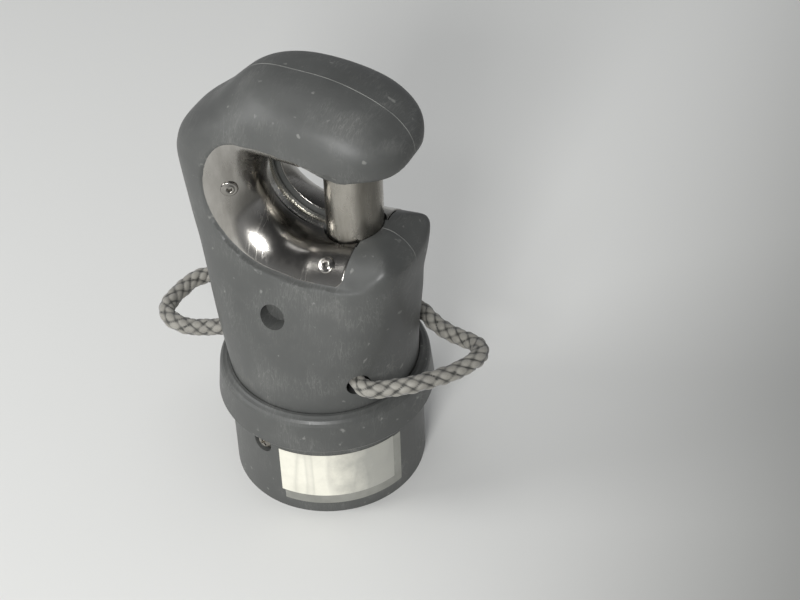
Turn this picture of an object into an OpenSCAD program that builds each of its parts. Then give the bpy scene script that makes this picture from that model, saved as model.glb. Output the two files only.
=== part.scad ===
// Spinnaker pole end fitting: a moulded hook with a sprung plunger across its jaw.
// The sleeve goes into the pole's tube. Millimetres, +Z up, +X towards the jaw's mouth.
// The origin is the centre of the sleeve's bottom face.

/* [Tube sleeve] */
// Outside diameter of the sleeve that enters the pole tube
sleeve_d = 65; // [62:0.5:80]
// Length of the sleeve below the collar
sleeve_len = 32; // [28:0.5:45]
// Wall thickness of the sleeve
sleeve_wall = 4.3; // [3.5:0.1:6]
// How far the collar stands out past the sleeve
collar_step = 3.7; // [2:0.1:5]
// Height of the collar
collar_h = 13.2; // [11:0.2:18]

/* [Jaw] */
// Diameter of the round throat that the line lies in
jaw_d = 33; // [27:0.5:40]
// Height of the jaw's floor above the body's seat in the collar
jaw_rise = 56.5; // [54:0.5:70]
// Distance from the centre line forward to the throat's axis
jaw_x = 3; // [2:0.25:5]
// Radius of the flare at each side of the jaw
flare_r = 17.5; // [16.5:0.25:19]
// Slope of the jaw's floor up towards its mouth, in degrees
floor_slope = 10; // [6:1:14]
// Width of the slot between the two liners
slot_w = 8; // [7.5:0.25:10]
// Thickness of the pressed liners
liner_t = 1.5; // [1:0.1:2]
// Reach of the liners out to each side, as an angle round the flare
liner_angle = 68; // [60:1:72]

/* [Head] */
// Width of the body at the jaw
head_w = 43; // [40:0.5:50]
// Thickness of the hook above the throat
hook_t = 21.5; // [18:0.5:27]
// Distance from the centre line to the hook's front
nose_x = 33.6; // [32:0.2:38]
// Distance from the centre line to the back of the body at the throat
heel_x = 42; // [40:0.5:50]

/* [Plunger] */
// Diameter of the plunger
plunger_d = 18; // [15:0.5:18.5]
// Distance from the centre line forward to the plunger's axis
plunger_x = 14; // [13:0.25:16]
// How far the plunger draws back to open the jaw
plunger_travel = 32; // [29:0.5:34]
// Depth of the plunger's tip inside the hook
plunger_grip = 3.2; // [2:0.2:4.5]
// Wall of the hollow part of the plunger
plunger_wall = 2; // [1.5:0.1:3]
// Diameter of the pin that the cord pulls
cord_pin_d = 4; // [3:0.25:4.5]
// Wire of the plunger's spring
spring_wire = 1.4; // [1:0.1:1.6]
// Coils of the plunger's spring
spring_coils = 12; // [8:1:14]

/* [Trigger] */
// Width of the trigger's band
trigger_t = 5; // [4:0.25:5.5]
// Depth of the trigger's band
trigger_depth = 6; // [5:0.25:6.5]
// How far the band lies below the liners
trigger_sink = 1.8; // [1.2:0.1:2.5]
// Diameter of the trigger's pivot pin
trigger_pin_d = 4; // [3:0.25:4.5]
// How far the trigger swings when the line presses it, in degrees
trigger_swing = 4; // [2:0.5:5]

/* [Pull cord] */
// Diameter of the cord
cord_d = 6; // [5:0.5:7]

/* [Fasteners] */
// Thread diameter of the sleeve's screws
screw_d = 3.5; // [3:0.1:4]
// Head diameter of the liner's rivets
rivet_head_d = 5.3; // [4.5:0.1:6.5]
// Shank diameter of the liner's rivets
rivet_d = 3.2; // [2.4:0.1:4]

/* [Label] */
// Height of the blank size label
label_h = 19; // [10:0.5:22]
// Thickness of one layer of label
label_t = 0.1; // [0.05:0.05:0.3]

/* [Fits] */
// Radial running clearance of the plunger and of the trigger on its pin
running_fit = 0.05; // [0.03:0.01:0.1]
// Radial clearance of the body's spigot in the sleeve
spigot_fit = 0.1; // [0.05:0.05:0.3]
// Gap between pieces that move past each other without touching
part_gap = 0.35; // [0.3:0.05:0.6]

/* [Hidden] */

sleeve_r = sleeve_d / 2;
collar_r = sleeve_r + collar_step;
collar_top = sleeve_len + collar_h;
seat_sink = 1.2;
seat_z = collar_top - seat_sink;
seat_r = collar_r - 4.9;
seat_gap = 0.3;
bore_r = sleeve_r - sleeve_wall;
spigot_r = bore_r - spigot_fit;
spigot_wall = 3.5;
spigot_bore = spigot_r - spigot_wall;
spigot_z = 12;
screw_z = sleeve_len - 6;
screw_azimuths = [-104.5, 75.5];
screw_sink = 2.2;
screw_head_h = 1.8;
recess_half = 1.6;

jaw_r = jaw_d / 2;
floor_z = seat_z + jaw_rise;
jaw_z = floor_z + jaw_r;
hook_z = jaw_z + jaw_r;
slot_h = slot_w / 2;
flare_c = jaw_r + flare_r;
rim_r = flare_c - flare_r * cos(liner_angle) + 0.8;

plunger_r = plunger_d / 2;
guide_r = plunger_r + running_fit;
tip_z = hook_z + plunger_grip - 3;
pin_z = floor_z - 24.5;
plunger_bottom = pin_z - 10;
plunger_bore_r = plunger_r - plunger_wall;
bore_top = pin_z - 4.5;
bush_wall = 1.2;
bush_r = plunger_r + bush_wall;
bush_gap = 0.4;
bush_chamfer = 0.4;
bush_bottom = floor_z - 14.5;
bush_top = floor_z + 1.5;
guide_wall = 3;
guide_bottom = 8;
clip_z = guide_bottom + 1.6;
clip_t = 1;
clip_reach = 0.8;
clip_gap = 0.1;
clip_ear_r = 1.8;
clip_ears = [-24, 24];
seat_plate_t = 2.4;
spring_bottom = clip_z + clip_t + seat_plate_t;
spring_r = plunger_bore_r - 0.5 - spring_wire / 2;

hollow_top = floor_z - 15.5;
hollow_half = head_w / 2 - 3;
hollow_r = seat_r - 3;

trigger_r = jaw_r + trigger_sink;
trigger_side_gap = 0.3;
trigger_y = slot_h - trigger_side_gap - trigger_t / 2;
groove_w = 1;
groove_depth = 1.2;
pivot_x = jaw_x - 6.5;
pivot_z = floor_z - 22.5;
pivot_boss = trigger_pin_d / 2 + 1.6;
trigger_top = 128;
slot_from = 115;
slot_to = 275;
slot_ledge = 0.05;
trigger_room = (jaw_z + 6 - pivot_z) * sin(trigger_swing) + part_gap;
trigger_slot_r = trigger_r + trigger_depth + trigger_room;
tail_x = pivot_x - 10;
tail_half = 2;
shelf_z = pivot_z - 20;
shelf_t = 3;

plug_y = hollow_half + 1;
plug_r = 4.3;
plug_t = 1.8;

cord_r = cord_d / 2;
cord_hole_r = cord_r + 1;
cord_hole_z = 55.5;
cord_hole_azimuths = [-42, 42, -155, 155];

liner_reach = 13.6;
rivet_grip = 5;
rivet_proud = 0.5;
rivet_rim = 0.4;
rivet_dimple_r = 0.7;
rivet_back_angle = 177;
rivet_back_tilt = 48;
rivet_front_reach = 5.4;
rivet_front_tilt = 43;

// The cord's closed route, from over the pin on the near side, out at the front and round
ROUTE = [
  [14, -15, 81.5], [18.5, -15, 79.5], [19.5, -15, 75], [19.5, -15.5, 67], [19, -16, 61],
  [20.5, -18, 57], [23.5, -20.5, 55.5], [28, -21.5, 55.5], [34, -18.5, 56], [39.5, -15, 56.5],
  [44, -11, 57], [48.5, -6, 57], [52, 0, 57], [53.5, 5, 57], [52, 9, 56.5],
  [48.5, 11.5, 55.5], [44, 13, 54.5], [38, 15, 53.5], [32, 17.5, 53.5], [27.5, 20, 54],
  [23, 20.5, 55.5], [20.5, 18, 57], [19, 16, 61], [19.5, 15.5, 67], [19.5, 15, 75],
  [18.5, 15, 79.5], [14, 15, 81.5], [9.5, 15, 79.5], [8, 15, 75], [3, 15, 69.5],
  [-4, 15, 65.5], [-12, 13, 61], [-19, 11, 57.5], [-25, 11.5, 55.5], [-31, 13.5, 54],
  [-38, 14, 52.5], [-45, 13, 51.5], [-50.5, 10.5, 51], [-53.5, 6.5, 51], [-55, 1.5, 50.5],
  [-55.5, -4.5, 50.5], [-54.5, -10, 50.5], [-50.5, -13.5, 50.5], [-44, -14.5, 50.5], [-37.5, -13.5, 51.5],
  [-31, -12.5, 53.5], [-25, -11.5, 55.5], [-19, -11, 57.5], [-12, -13, 61], [-4, -15, 65.5],
  [3, -15, 69.5], [8, -15, 75], [9.5, -15, 79.5]
];

// Lofted skin of the moulded body

SKIN_SIDES = 36;

// Eases from one value to another as t goes from 0 to 1
function ease(a, b, t) = a + (b - a) * (1 - cos(180 * min(1, max(0, t)))) / 2;

// The back leans out in a straight line from the seat to the heel
heel_z = jaw_z + 8;
function back_line(z) = -seat_r - (heel_x - seat_r) * max(0, z - seat_z - 2) / (heel_z - seat_z - 2);

// One level below the jaw: height, back, front, half width,
// then the squareness of its front half and of its back half
shoulder_z = floor_z - 8.5;
function trunk_level(z) = let (u = (z - seat_z) / (shoulder_z - seat_z)) [
  z, back_line(z), seat_r + (nose_x - seat_r) * u * u,
  ease(seat_r, head_w / 2, 0.8 * u), 2 + 2.8 * pow(u, 2.2), 2 + 1.1 * pow(u, 1.3)
];

// Levels from the jaw up over the hook, as steps from the hook's underside,
// the heel, the nose and the half width, then the two values of squareness
HEAD = [
  [-33.5, 3.1, 0, 0, 3.4, 3.2],
  [-25.5, 2.1, 0, -0.2, 2.8, 3.3],
  [-17.5, 1.1, 0, -0.3, 2.6, 3.4],
  [-9.5, 0.1, 0, -0.4, 2.4, 3.4],
  [-5.5, 0.6, 0, -0.5, 2.2, 3.2],
  [-2.5, 1.6, -0.5, -0.5, 2.1, 3],
  [0.5, 4.6, 0, -0.4, 2.2, 2.9],
  [3.5, 8.2, -0.2, -0.4, 2.5, 2.8],
  [6.5, 12, -2, -0.8, 2.8, 2.8],
  [9, 14.5, -3.9, -1.4, 3, 2.6],
  [11.5, 17, -6.1, -2.3, 3, 2.5],
  [14, 19.6, -9.4, -3.6, 2.8, 2.3],
  [16, 21.7, -13.6, -5.4, 2.6, 2.2],
  [18, 24, -19, -8.2, 2.4, 2.2],
  [19.5, 26.8, -24.2, -11.4, 2.2, 2.1],
  [20.7, 30.4, -29, -14.6, 2, 2],
  [21.3, 34, -33.4, -18.4, 2, 2]
];
hook_scale = hook_t / 21.5;
function head_level(h) = [
  hook_z + h[0] * (h[0] > 0 ? hook_scale : 1),
  -heel_x + h[1], nose_x + h[2], head_w / 2 + h[3], h[4], h[5]
];

TRUNK_STEPS = 5;
SKIN = concat(
  [[seat_z, -seat_r, seat_r, seat_r, 2, 2]],
  [for (i = [1 : TRUNK_STEPS]) trunk_level(seat_z + (shoulder_z - seat_z) * i / TRUNK_STEPS)],
  [for (h = HEAD) head_level(h)]
);

function side(v) = v < 0 ? -1 : 1;
function level_points(s) = let (a = (s[2] - s[1]) / 2, c = (s[2] + s[1]) / 2)
  [for (i = [0 : SKIN_SIDES - 1])
    let (t = 360 * i / SKIN_SIDES, x = cos(t), y = sin(t), p = 2 / (x > 0 ? s[4] : s[5]))
    [c + a * side(x) * pow(abs(x), p), s[3] * side(y) * pow(abs(y), p), s[0]]];

// Faces of a tube of rings, with both ends closed or joined to each other
function tube_faces(rings, sides, closed) = concat(
  closed ? [] : [[for (i = [0 : sides - 1]) i]],
  closed ? [] : [[for (i = [sides - 1 : -1 : 0]) (rings - 1) * sides + i]],
  [for (k = [0 : rings - (closed ? 1 : 2)]) for (i = [0 : sides - 1])
    let (j = (i + 1) % sides, a = k * sides, b = ((k + 1) % rings) * sides)
    each [[a + i, b + i, b + j], [a + i, b + j, a + j]]]
);

module skin() {
  polyhedron([for (s = SKIN) each level_points(s)], tube_faces(len(SKIN), SKIN_SIDES, false), 6);
}

// Half section of the jaw's opening: distance from the throat's axis, and width across.
// With pockets it leaves room for the liners, out to their edges.
module opening_section(pockets) {
  difference() {
    translate([0, -30]) square([rim_r, 60]);
    translate([jaw_r, -slot_h]) square([flare_r, slot_w]);
    for (far = [-1, 1]) translate([flare_c, far * slot_h]) difference() {
      circle(r = flare_r, $fn = 96);
      if (pockets) difference() {
        mirror([0, far == 1 ? 0 : 1]) liner_wedge();
        circle(r = flare_r - liner_t, $fn = 96);
      }
    }
  }
}

// The angle round the flare that a liner covers
module liner_wedge() {
  polygon([[0, 0], [-60, 0], [-60, 60], [-60 * cos(liner_angle), 60 * sin(liner_angle)]]);
}

// Places what follows at the throat's axis, with Z of the child along the axis
module at_throat() {
  translate([jaw_x, 0, jaw_z]) rotate([90, 0, 0]) children();
}

// The floor from the throat's lowest point forward, sloping up
module along_floor() {
  translate([jaw_x, 0, jaw_z]) rotate([0, -floor_slope, 0]) rotate([0, 90, 0]) children();
}

// Side view of the jaw's mouth with the rounded lip and beak
lip_r = 9.2;
beak_r = 5.5;
module mouth_outline() {
  lip_z = floor_z + (nose_x - lip_r - jaw_x) * tan(floor_slope);
  difference() {
    union() {
      translate([plunger_x, lip_z - lip_r]) square([60, hook_z - 2.5 - lip_z + lip_r]);
      translate([nose_x - beak_r, hook_z - 4]) square([60, beak_r + 1]);
    }
    translate([nose_x - lip_r, lip_z - lip_r]) circle(r = lip_r, $fn = 96);
    translate([0, lip_z - 60]) square([nose_x - lip_r, 60]);
    translate([nose_x - beak_r, hook_z - 2.5 + beak_r]) circle(r = beak_r, $fn = 96);
  }
}

// Side view of what the hook's underside leaves open
module below_hook() {
  rotate([90, 0, 0]) linear_extrude(80, center = true) polygon([
    [-60, jaw_z - 60], [-60, hook_z + 4.4], [jaw_x, hook_z + 4.4],
    [jaw_x + 19, hook_z], [60, hook_z - 2.5], [60, jaw_z - 60]
  ]);
}

module jaw_opening() {
  intersection() {
    throat();
    below_hook();
  }
  along_floor() {
    linear_extrude(liner_reach) opening_section(true);
    translate([0, 0, liner_reach]) linear_extrude(60) opening_section(false);
  }
  rotate([90, 0, 0]) linear_extrude(80, center = true) mouth_outline();
}

module throat() {
  at_throat() rotate([0, 0, floor_slope]) rotate_extrude(angle = 270, $fn = 96)
    opening_section(true);
}

// The slot that the trigger swings in, a little narrower than the gap between the liners
module trigger_band_slot() {
  slot_in = jaw_r - 3;
  at_throat() rotate([0, 0, slot_from]) rotate_extrude(angle = slot_to - slot_from, $fn = 96)
    translate([slot_in, slot_ledge - slot_h])
      square([trigger_slot_r - slot_in, slot_w - 2 * slot_ledge]);
}

// Half section of one liner
module liner_section() {
  translate([flare_c, slot_h]) intersection() {
    difference() {
      circle(r = flare_r, $fn = 96);
      circle(r = flare_r - liner_t, $fn = 96);
    }
    liner_wedge();
  }
}

// One liner: round the throat, then along the floor. Side 1 is the far one.
liner_from = 60;
module liner_shape(far) {
  intersection() {
    at_throat() rotate([0, 0, liner_from])
      rotate_extrude(angle = 270 + floor_slope - liner_from, $fn = 96)
        mirror([0, far == 1 ? 1 : 0]) liner_section();
    below_hook();
  }
  along_floor() linear_extrude(liner_reach) mirror([0, far == 1 ? 0 : 1]) liner_section();
}

// Puts what follows on the flared face, standing along its outward normal
module on_flare(far, tilt) {
  translate([flare_c, far * slot_h, 0]) rotate([0, 0, far * (180 - tilt)])
    rotate([0, 90, 0]) translate([0, 0, flare_r]) children();
}
module at_back_rivet(far) {
  translate([jaw_x, 0, jaw_z]) rotate([0, -rivet_back_angle, 0])
    on_flare(far, rivet_back_tilt) children();
}
module at_front_rivet(far) {
  along_floor() translate([0, 0, rivet_front_reach]) on_flare(far, rivet_front_tilt) children();
}
module at_rivets() {
  for (far = [-1, 1]) {
    at_back_rivet(far) children();
    at_front_rivet(far) children();
  }
}
module rivet_hole() {
  translate([0, 0, -rivet_grip]) cylinder(d = rivet_d, h = rivet_grip + 2, $fn = 32);
}

module along_y(x, z) {
  translate([x, 0, z]) rotate([90, 0, 0]) children();
}

// Openings and hollows of the body

module hollow() {
  intersection() {
    translate([0, 0, seat_z + 3]) cylinder(r = hollow_r, h = hollow_top - seat_z - 3, $fn = 96);
    translate([-60, -hollow_half, 0]) cube([120, 2 * hollow_half, hollow_top]);
  }
  translate([0, 0, spigot_z - 1]) cylinder(r = spigot_bore, h = seat_z + 5 - spigot_z, $fn = 96);
}

module trigger_leg_slot() {
  leg_back = pivot_x - pivot_boss - trigger_room - 1.5;
  translate([leg_back, -slot_h, hollow_top - 4])
    cube([pivot_x + pivot_boss + part_gap - leg_back, slot_w, 14]);
}

module cord_channels() {
  for (azimuth = cord_hole_azimuths) rotate([0, 0, azimuth]) {
    translate([18, 0, cord_hole_z]) rotate([0, 90, 0]) cylinder(r = cord_hole_r, h = 40, $fn = 48);
    if (abs(azimuth) < 90)
      translate([16, -cord_hole_r, cord_hole_z]) cube([hollow_r - 16, 2 * cord_hole_r, 16]);
  }
}

module at_screws() {
  for (azimuth = screw_azimuths) at_screw(azimuth) children();
}
module at_screw(azimuth) {
  rotate([0, 0, azimuth]) translate([0, 0, screw_z]) rotate([0, 90, 0]) children();
}

module guide_tube() {
  guide_outer = guide_r + guide_wall;
  intersection() {
    translate([plunger_x, 0, guide_bottom])
      cylinder(r = guide_outer, h = hollow_top + 2 - guide_bottom, $fn = 96);
    cylinder(r = spigot_r, h = hollow_top + 10, $fn = 96);
  }
  rib_x = plunger_x + guide_outer - 1;
  translate([rib_x, -1.5, seat_z + 2]) cube([hollow_r + 1 - rib_x, 3, hollow_top - seat_z]);
}

module spring_shelf() {
  translate([-hollow_r - 1, -5, shelf_z - shelf_t]) cube([hollow_r + 1 + tail_x + 5, 10, shelf_t]);
}

module guide_bores() {
  translate([plunger_x, 0, 0]) {
    translate([0, 0, guide_bottom - 1])
      cylinder(r = guide_r, h = tip_z + 2 - guide_bottom, $fn = 96);
    translate([0, 0, bush_bottom]) cylinder(r = bush_r, h = bush_top + 2 - bush_bottom, $fn = 96);
    translate([0, 0, clip_z]) cylinder(r = guide_r + clip_reach + clip_gap, h = clip_t, $fn = 96);
  }
}

module cord_pin_slot() {
  slot_x = cord_pin_d / 2 + part_gap;
  slot_low = pin_z - plunger_travel - slot_x;
  translate([plunger_x - slot_x, -hollow_half, slot_low])
    cube([2 * slot_x, 2 * hollow_half, pin_z + slot_x - slot_low]);
}

module trigger_pin_bore() {
  along_y(pivot_x, pivot_z) {
    translate([0, 0, -hollow_half - 3])
      cylinder(d = trigger_pin_d, h = hollow_half + 4 + plug_y, $fn = 48);
    translate([0, 0, plug_y]) cylinder(r = plug_r, h = 30, $fn = 64);
  }
}

module spigot() {
  difference() {
    translate([0, 0, spigot_z]) cylinder(r = spigot_r, h = seat_z + 1 - spigot_z, $fn = 96);
    translate([0, 0, spigot_z - 1]) cylinder(r = spigot_bore, h = seat_z + 5, $fn = 96);
    at_screws() cylinder(d = screw_d, h = spigot_r + 2, $fn = 32);
  }
}

module body() {
  color("dimgray") {
    difference() {
      skin();
      jaw_opening();
      trigger_band_slot();
      difference() {
        hollow();
        guide_tube();
        spring_shelf();
      }
      guide_bores();
      cord_pin_slot();
      trigger_leg_slot();
      trigger_pin_bore();
      cord_channels();
      at_rivets() rivet_hole();
    }
    spigot();
    difference() {
      intersection() {
        guide_tube();
        cylinder(r = spigot_bore + 1, h = seat_z + 1, $fn = 96);
      }
      guide_bores();
      cord_pin_slot();
    }
  }
}

module tube_sleeve() {
  flank_z = sleeve_len + 0.7 * collar_h;
  color("dimgray") difference() {
    rotate_extrude($fn = 128) polygon(concat(
      [[0, 0], [sleeve_r, 0], [sleeve_r, sleeve_len]],
      [[collar_r - 0.4, sleeve_len], [collar_r, sleeve_len + 0.6], [collar_r - 0.9, flank_z]],
      [for (t = [20 : 20 : 80]) [
        collar_r - 0.9 - 2.5 * (1 - cos(t)), flank_z + (collar_top - 0.4 - flank_z) * sin(t)
      ]],
      [[collar_r - 3.6, collar_top], [0, collar_top]]
    ));
    translate([0, 0, -1]) cylinder(r = bore_r, h = collar_top + 2, $fn = 128);
    translate([0, 0, seat_z]) cylinder(r = seat_r + seat_gap, h = 10, $fn = 128);
    at_screws() {
      translate([0, 0, bore_r - 4]) cylinder(d = screw_d + seat_gap, h = 20, $fn = 32);
      translate([0, 0, sleeve_r - screw_sink]) cylinder(r = screw_d + 0.1, h = 10, $fn = 32);
    }
  }
}

module jaw_liner(far) {
  color("silver") difference() {
    liner_shape(far);
    translate([plunger_x, 0, floor_z - 30]) cylinder(r = bush_r + bush_gap, h = 100, $fn = 96);
    at_back_rivet(far) rivet_hole();
    at_front_rivet(far) rivet_hole();
  }
}
module jaw_liner_near() { jaw_liner(-1); }
module jaw_liner_far() { jaw_liner(1); }

module liner_rivet() {
  head_r = rivet_head_d / 2;
  color("gainsboro") difference() {
    union() {
      translate([0, 0, rivet_proud - rivet_grip])
        cylinder(d = rivet_d, h = rivet_grip, $fn = 32);
      cylinder(r = head_r, h = rivet_rim, $fn = 48);
      translate([0, 0, rivet_rim])
        cylinder(r1 = head_r, r2 = 0.6 * head_r, h = rivet_proud, $fn = 48);
    }
    translate([0, 0, -2]) cylinder(r = rivet_dimple_r, h = 4, $fn = 24);
  }
}
module rivet_near_back() { at_back_rivet(-1) liner_rivet(); }
module rivet_near_front() { at_front_rivet(-1) liner_rivet(); }
module rivet_far_back() { at_back_rivet(1) liner_rivet(); }
module rivet_far_front() { at_front_rivet(1) liner_rivet(); }

module plunger() {
  tip_round = 1.5;
  color("lightgray") translate([plunger_x, 0, 0]) difference() {
    rotate_extrude($fn = 96) {
      translate([0, plunger_bottom]) square([plunger_r, tip_z - tip_round - plunger_bottom]);
      square_r = plunger_r - tip_round;
      translate([0, plunger_bottom]) square([square_r, tip_z - plunger_bottom]);
      intersection() {
        translate([square_r, tip_z - tip_round]) circle(r = tip_round, $fn = 48);
        translate([0, plunger_bottom]) square([plunger_r, tip_z - plunger_bottom]);
      }
    }
    translate([0, 0, plunger_bottom - 1])
      cylinder(r = plunger_bore_r, h = bore_top - plunger_bottom + 1, $fn = 64);
    along_y(0, pin_z) cylinder(d = cord_pin_d, h = plunger_d + 2, center = true, $fn = 48);
  }
}

module plunger_bush() {
  color("darkgray") difference() {
    translate([plunger_x, 0, bush_bottom]) {
      cylinder(r = bush_r, h = bush_top - bush_chamfer - bush_bottom, $fn = 96);
      translate([0, 0, bush_top - bush_chamfer - bush_bottom])
        cylinder(r1 = bush_r, r2 = bush_r - bush_chamfer, h = bush_chamfer, $fn = 96);
    }
    translate([plunger_x, 0, bush_bottom - 1])
      cylinder(r = guide_r, h = bush_top - bush_bottom + 2, $fn = 96);
    translate([plunger_x - bush_r - 5, -slot_h, jaw_z - trigger_slot_r])
      cube([bush_r + 5, slot_w, 30]);
  }
}

module cord_pin() {
  reach_x = plunger_x + cord_pin_d / 2;
  half = min(hollow_half, sqrt(spigot_bore * spigot_bore - reach_x * reach_x)) - part_gap;
  color("silver") along_y(plunger_x, pin_z)
    cylinder(d = cord_pin_d, h = 2 * half, center = true, $fn = 48);
}

// A helical spring standing on z = 0: its end coils are close, the others even
SPRING_SIDES = 6;
module coil_spring(height, mean_r, wire, coils) {
  steps = 14;
  total = steps * coils;
  end_rise = 1.1 * wire;
  function rise(k) = let (turn = k / steps)
    turn < 1 ? turn * end_rise :
    turn > coils - 1 ? height - wire - (coils - turn) * end_rise :
    end_rise + (height - wire - 2 * end_rise) * (turn - 1) / (coils - 2);
  points = [for (k = [0 : total]) let (a = 360 * k / steps)
    for (i = [0 : SPRING_SIDES - 1]) let (
      b = 360 * (i + 0.5) / SPRING_SIDES, r = mean_r + wire / 2 * cos(b))
      [r * cos(a), r * sin(a), wire / 2 + rise(k) - wire / 2 * sin(b)]];
  polyhedron(points, tube_faces(total + 1, SPRING_SIDES, false), 10);
}
module plunger_spring() {
  color("gainsboro") translate([plunger_x, 0, spring_bottom])
    coil_spring(bore_top - spring_bottom, spring_r, spring_wire, spring_coils);
}

module spring_seat() {
  color("gray") translate([plunger_x, 0, clip_z + clip_t]) difference() {
    cylinder(r = guide_r - 0.05, h = seat_plate_t, $fn = 64);
    translate([0, 0, -1]) cylinder(r = 3, h = seat_plate_t + 2, $fn = 48);
  }
}

module retaining_ring() {
  ring_in = guide_r - 1.4;
  ear_in = 1.2;
  color("gainsboro") translate([plunger_x, 0, clip_z]) difference() {
    union() {
      difference() {
        cylinder(r = guide_r + clip_reach, h = clip_t, $fn = 64);
        translate([0, 0, -1]) cylinder(r = ring_in, h = clip_t + 2, $fn = 64);
      }
      for (a = clip_ears) rotate([0, 0, a]) translate([ear_in - guide_r, 0, 0])
        cylinder(r = clip_ear_r, h = clip_t, $fn = 32);
    }
    translate([-guide_r - 3, -clip_ear_r, -1]) cube([guide_r, 2 * clip_ear_r, clip_t + 2]);
    for (a = clip_ears) rotate([0, 0, a]) translate([ear_in - guide_r, 0, -1])
      cylinder(r = clip_ear_r - 1, h = clip_t + 2, $fn = 24);
  }
}

// Side view of the trigger: band round the throat, leg, pivot boss and tail
module trigger_outline() {
  tip_x = plunger_x - plunger_r - part_gap - jaw_x;
  translate([jaw_x, jaw_z]) intersection() {
    difference() {
      circle(r = trigger_r + trigger_depth, $fn = 128);
      circle(r = trigger_r, $fn = 128);
    }
    polygon([
      [0, 0], [70 * cos(trigger_top), 70 * sin(trigger_top)], [-70, -70], [tip_x, -70], [tip_x, 0]
    ]);
  }
  band_low = jaw_z - trigger_r - trigger_depth / 2;
  translate([pivot_x - pivot_boss, pivot_z]) square([2 * pivot_boss, band_low - pivot_z]);
  translate([pivot_x, pivot_z]) circle(r = pivot_boss, $fn = 64);
  translate([tail_x - 3, pivot_z - tail_half]) square([pivot_x - tail_x + 3, 2 * tail_half]);
}
module trigger() {
  color("darkgray") difference() {
    translate([0, trigger_y, 0]) rotate([90, 0, 0])
      linear_extrude(trigger_t, center = true) trigger_outline();
    along_y(pivot_x, pivot_z)
      cylinder(r = trigger_pin_d / 2 + running_fit, h = 40, center = true, $fn = 48);
    at_throat() translate([0, 0, -trigger_y]) rotate([0, 0, 120])
      rotate_extrude(angle = 112, $fn = 128)
        translate([trigger_r - 1, -groove_w / 2]) square([groove_depth + 1, groove_w]);
  }
}

module trigger_pin() {
  color("silver") along_y(pivot_x, pivot_z) translate([0, 0, -hollow_half - 3])
    cylinder(d = trigger_pin_d, h = hollow_half + 3 + plug_y, $fn = 48);
}

module pivot_plug() {
  color("dimgray") along_y(pivot_x, pivot_z) translate([0, 0, plug_y])
    cylinder(r = plug_r, h = plug_t, $fn = 64);
}

module trigger_spring() {
  height = pivot_z - tail_half - shelf_z;
  color("gainsboro") translate([tail_x, trigger_y, shelf_z]) coil_spring(height, 2.2, 0.7, 8);
}

module sleeve_screw() {
  head_z = sleeve_r - screw_sink;
  head_r = screw_d - 0.5;
  shank_z = spigot_bore - 0.5;
  color("darkgray") difference() {
    union() {
      translate([0, 0, shank_z]) cylinder(d = screw_d, h = head_z - shank_z + 0.1, $fn = 32);
      translate([0, 0, head_z]) cylinder(r = head_r, h = screw_head_h / 2, $fn = 48);
      translate([0, 0, head_z + screw_head_h / 2])
        cylinder(r1 = head_r, r2 = head_r - 1.1, h = screw_head_h / 2, $fn = 48);
    }
    for (a = [45, 135]) rotate([0, 0, a])
      translate([-recess_half, -0.4, head_z + 0.7]) cube([2 * recess_half, 0.8, 3]);
  }
}
module sleeve_screw_near() { at_screw(screw_azimuths[0]) sleeve_screw(); }
module sleeve_screw_far() { at_screw(screw_azimuths[1]) sleeve_screw(); }

// A blank label layer that wraps the sleeve between two azimuths
module label_layer(low, high, from, to, layer) {
  rotate([0, 0, from]) rotate_extrude(angle = to - from, $fn = 128)
    translate([sleeve_r + layer * label_t, low]) square([label_t, high - low]);
}
label_top = sleeve_len - 5;
module old_label() {
  color("gray") label_layer(label_top - label_h - 3.7, label_top - 0.5, -90.5, -16, 0);
}
module size_label() {
  color("whitesmoke") label_layer(label_top - label_h, label_top, -92.4, -22, 1);
}

// The cord: a plain closed tube along the route
CORD_SIDES = 10;
function unit(v) = v / norm(v);
module pull_cord() {
  n = len(ROUTE);
  reference = unit([0.2, 1, 0.55]);
  points = [for (k = [0 : n - 1]) let (
      along = unit(ROUTE[(k + 1) % n] - ROUTE[(k + n - 1) % n]),
      across = unit(cross(along, reference)), up = cross(across, along))
    for (i = [0 : CORD_SIDES - 1]) let (a = 360 * i / CORD_SIDES)
      ROUTE[k] + cord_r * (cos(a) * across - sin(a) * up)];
  color("tan") polyhedron(points, tube_faces(n, CORD_SIDES, true), 10);
}

body();
tube_sleeve();
jaw_liner_near();
jaw_liner_far();
rivet_near_back();
rivet_near_front();
rivet_far_back();
rivet_far_front();
plunger();
plunger_bush();
cord_pin();
plunger_spring();
spring_seat();
retaining_ring();
trigger();
trigger_pin();
pivot_plug();
trigger_spring();
sleeve_screw_near();
sleeve_screw_far();
old_label();
size_label();
pull_cord();
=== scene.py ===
import math

import bmesh
import bpy
from mathutils import Matrix, Vector, noise


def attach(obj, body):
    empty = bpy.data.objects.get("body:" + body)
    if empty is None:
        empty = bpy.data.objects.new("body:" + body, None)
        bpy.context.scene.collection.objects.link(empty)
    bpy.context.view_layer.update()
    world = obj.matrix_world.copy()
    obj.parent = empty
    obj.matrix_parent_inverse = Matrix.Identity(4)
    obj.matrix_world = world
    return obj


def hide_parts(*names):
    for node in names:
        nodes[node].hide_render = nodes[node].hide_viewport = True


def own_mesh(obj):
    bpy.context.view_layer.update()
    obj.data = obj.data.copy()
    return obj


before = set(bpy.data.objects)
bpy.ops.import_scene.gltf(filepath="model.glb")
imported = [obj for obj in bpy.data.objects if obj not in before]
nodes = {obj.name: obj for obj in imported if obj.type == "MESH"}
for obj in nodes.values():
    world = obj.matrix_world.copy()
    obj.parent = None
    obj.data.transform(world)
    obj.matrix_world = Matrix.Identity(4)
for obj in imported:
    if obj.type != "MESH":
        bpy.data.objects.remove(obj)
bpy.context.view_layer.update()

print("frame loaded:", len(nodes), "nodes")


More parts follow.
